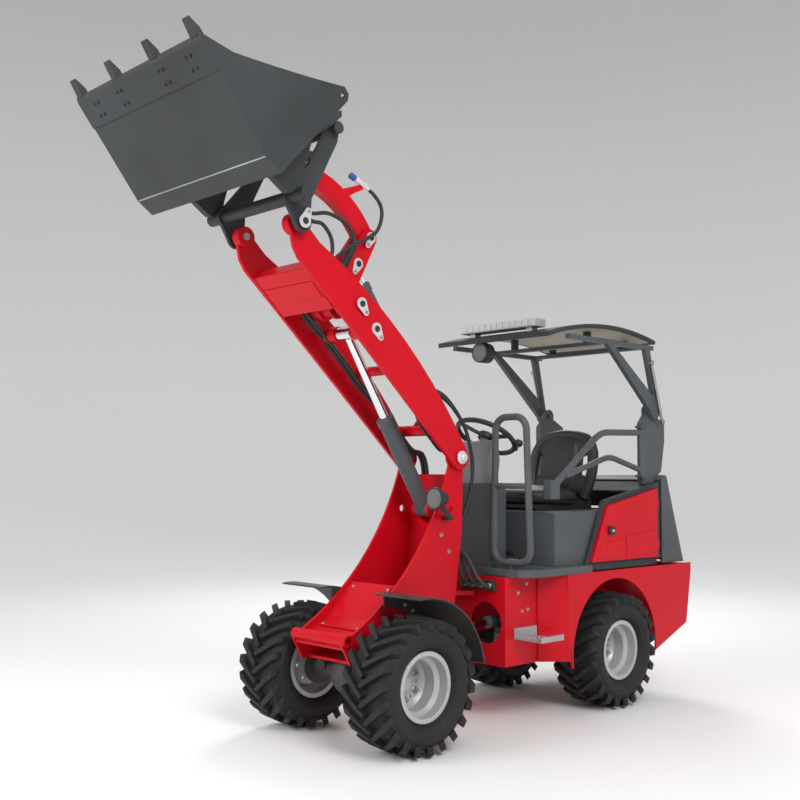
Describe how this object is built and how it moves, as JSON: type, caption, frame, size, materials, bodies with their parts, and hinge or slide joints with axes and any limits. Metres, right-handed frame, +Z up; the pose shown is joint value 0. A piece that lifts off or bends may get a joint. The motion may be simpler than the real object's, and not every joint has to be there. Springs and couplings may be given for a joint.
{
  "type": "compact articulated wheel loader",
  "caption": "Compact wheel loader with a frame that bends in the middle, raised lift boom, rolled back toothed bucket, folding canopy and lugged tyres.",
  "frame": {"origin": "middle of the machine's length and width, on the ground", "axes": "+X towards the bucket, +Y to the machine's left, +Z up"},
  "size_m": [3.7894, 1.1193, 3.1939],
  "materials": {
    "painted_steel_red": "gloss paint",
    "painted_steel_grey": "satin paint",
    "painted_steel_black": "satin paint",
    "painted_steel_silver": "satin paint",
    "steel": "turned",
    "chromed_steel": "polished",
    "galvanised_steel": "galvanised",
    "aluminium": "satin",
    "plastic_black": "fine grain",
    "foam_black": "grained vinyl",
    "rubber": "moulded"
  },
  "bodies": {
    "rear_frame": {"rear_frame": "painted_steel_red", "rear_fenders": "painted_steel_red", "counterweight": "painted_steel_red", "pivot_pins": "steel", "rear_axle": "painted_steel_grey", "engine": "painted_steel_black", "platform": "painted_steel_grey", "cowl": "painted_steel_grey", "dashboard": "plastic_black", "steering_wheel": "plastic_black", "handrail": "painted_steel_grey", "seat_box": "painted_steel_grey", "seat": "foam_black", "joystick_console": "plastic_black", "engine_bay": "painted_steel_grey", "rops_posts": "painted_steel_grey", "step": "galvanised_steel", "coupler_block": "painted_steel_black"},
    "front_frame": {"front_frame": "painted_steel_red", "front_axle": "painted_steel_grey", "front_fenders": "plastic_black", "headlamp": "plastic_black", "boom_pin": "steel"},
    "boom": {"boom": "painted_steel_red", "crank_pin": "steel", "tip_pins": "steel"},
    "crank": {"crank": "painted_steel_red", "link_pin": "steel"},
    "hitch": {"quick_hitch": "painted_steel_grey", "bucket": "painted_steel_grey"},
    "canopy": {"canopy_frame": "painted_steel_grey", "roof": "painted_steel_grey", "light_bar": "aluminium", "roof_lamp": "plastic_black", "canopy_stays": "steel"},
    "rear_hood": {"rear_hood": "painted_steel_grey"},
    "gate": {"gate": "painted_steel_grey"},
    "side_cover_left": {"side_cover_left": "painted_steel_red"},
    "side_cover_right": {"side_cover_right": "painted_steel_red"},
    "steer_barrel": {"steer_barrel": "painted_steel_grey"},
    "steer_rod": {"steer_rod": "chromed_steel"},
    "lift_barrel": {"lift_barrel": "painted_steel_grey"},
    "lift_rod": {"lift_rod": "chromed_steel"},
    "tilt_barrel": {"tilt_barrel": "painted_steel_grey"},
    "tilt_rod": {"tilt_rod": "chromed_steel"},
    "link": {"link": "painted_steel_red"},
    "wheel_front_left": {"rim_front_left": "painted_steel_silver", "tyre_front_left": "rubber"},
    "wheel_front_right": {"rim_front_right": "painted_steel_silver", "tyre_front_right": "rubber"},
    "wheel_rear_left": {"rim_rear_left": "painted_steel_silver", "tyre_rear_left": "rubber"},
    "wheel_rear_right": {"rim_rear_right": "painted_steel_silver", "tyre_rear_right": "rubber"}
  },
  "joints": [
    {"name": "steer", "type": "hinge", "parent": "rear_frame", "child": "front_frame", "pos_m": [-0.13465, 0, 0.5575], "axis": [0, 0, 1], "range_deg": [-40, 40]},
    {"name": "steer_cylinder_swing", "type": "hinge", "parent": "rear_frame", "child": "steer_barrel", "pos_m": [-0.58965, 0.235, 0.535], "axis": [0, 0, 1], "range_deg": [-5.94, 5.94]},
    {"name": "steer_cylinder_stroke", "type": "slide", "parent": "steer_barrel", "child": "steer_rod", "axis": [0.9993, -0.0363, 0], "range_m": [-0.1495, 0.1495]},
    {"name": "boom_lift", "type": "hinge", "parent": "front_frame", "child": "boom", "pos_m": [-0.03465, 0, 1.43], "axis": [0, 1, 0], "range_deg": [0, 76]},
    {"name": "lift_cylinder_swing", "type": "hinge", "parent": "front_frame", "child": "lift_barrel", "pos_m": [0.01035, 0, 1.15], "axis": [0, -1, 0], "range_deg": [-71.46, 0.5]},
    {"name": "lift_cylinder_stroke", "type": "slide", "parent": "lift_barrel", "child": "lift_rod", "axis": [0.5317, 0, 0.847], "range_m": [-0.3422, 0.002]},
    {"name": "bucket_tilt", "type": "hinge", "parent": "boom", "child": "hitch", "pos_m": [1.10068, 0, 2.51874], "axis": [0, -1, 0], "range_deg": [-97, 0]},
    {"name": "crank_swing", "type": "hinge", "parent": "boom", "child": "crank", "pos_m": [0.69398, 0, 2.17999], "axis": [0, -1, 0], "range_deg": [-53.78, 0.5]},
    {"name": "link_swing", "type": "hinge", "parent": "crank", "child": "link", "pos_m": [0.47932, 0, 2.57208], "axis": [0, -1, 0], "range_deg": [-0.5, 26.55]},
    {"name": "tilt_cylinder_swing", "type": "hinge", "parent": "boom", "child": "tilt_barrel", "pos_m": [-0.02329, 0, 1.63487], "axis": [0, -1, 0], "range_deg": [-10.25, 0.5]},
    {"name": "tilt_cylinder_stroke", "type": "slide", "parent": "tilt_barrel", "child": "tilt_rod", "axis": [0.5944, 0, 0.8041], "range_m": [-0.002, 0.1742]},
    {"name": "canopy_fold", "type": "hinge", "parent": "rear_frame", "child": "canopy", "pos_m": [-1.57465, 0, 1.735], "axis": [0, -1, 0], "range_deg": [0, 150]},
    {"name": "hood_open", "type": "hinge", "parent": "rear_frame", "child": "rear_hood", "pos_m": [-1.84665, 0, 0.806], "axis": [0, 1, 0], "range_deg": [-70, 0]},
    {"name": "gate_swing", "type": "hinge", "parent": "rear_frame", "child": "gate", "pos_m": [-1.44965, 0.425, 1.48], "axis": [0, 0, 1], "range_deg": [0, 100]},
    {"name": "side_cover_left_open", "type": "hinge", "parent": "rear_frame", "child": "side_cover_left", "pos_m": [-1.55865, 0.4663, 1.05], "axis": [0, 0, -1], "range_deg": [-100, 0]},
    {"name": "side_cover_right_open", "type": "hinge", "parent": "rear_frame", "child": "side_cover_right", "pos_m": [-1.55865, -0.4663, 1.05], "axis": [0, 0, 1], "range_deg": [-100, 0]},
    {"name": "wheel_front_left_spin", "type": "hinge", "parent": "front_frame", "child": "wheel_front_left", "pos_m": [0.52535, 0.41, 0.33], "axis": [0, 1, 0], "continuous": true},
    {"name": "wheel_front_right_spin", "type": "hinge", "parent": "front_frame", "child": "wheel_front_right", "pos_m": [0.52535, -0.41, 0.33], "axis": [0, 1, 0], "continuous": true},
    {"name": "wheel_rear_left_spin", "type": "hinge", "parent": "rear_frame", "child": "wheel_rear_left", "pos_m": [-1.07465, 0.41, 0.33], "axis": [0, 1, 0], "continuous": true},
    {"name": "wheel_rear_right_spin", "type": "hinge", "parent": "rear_frame", "child": "wheel_rear_right", "pos_m": [-1.07465, -0.41, 0.33], "axis": [0, 1, 0], "continuous": true}
  ],
  "couplings": [
    {"joint": "steer_cylinder_swing", "follows": "steer", "ratio": 0.1361},
    {"joint": "steer_cylinder_stroke", "follows": "steer", "m_per_rad": -0.21133},
    {"joint": "lift_cylinder_swing", "follows": "boom_lift", "ratio": -0.93369},
    {"joint": "lift_cylinder_stroke", "follows": "boom_lift", "m_per_rad": -0.25647},
    {"joint": "crank_swing", "follows": "bucket_tilt", "ratio": 0.54923},
    {"joint": "link_swing", "follows": "bucket_tilt", "ratio": -0.26852},
    {"joint": "tilt_cylinder_swing", "follows": "bucket_tilt", "ratio": 0.10048},
    {"joint": "tilt_cylinder_stroke", "follows": "bucket_tilt", "m_per_rad": -0.10173}
  ]
}
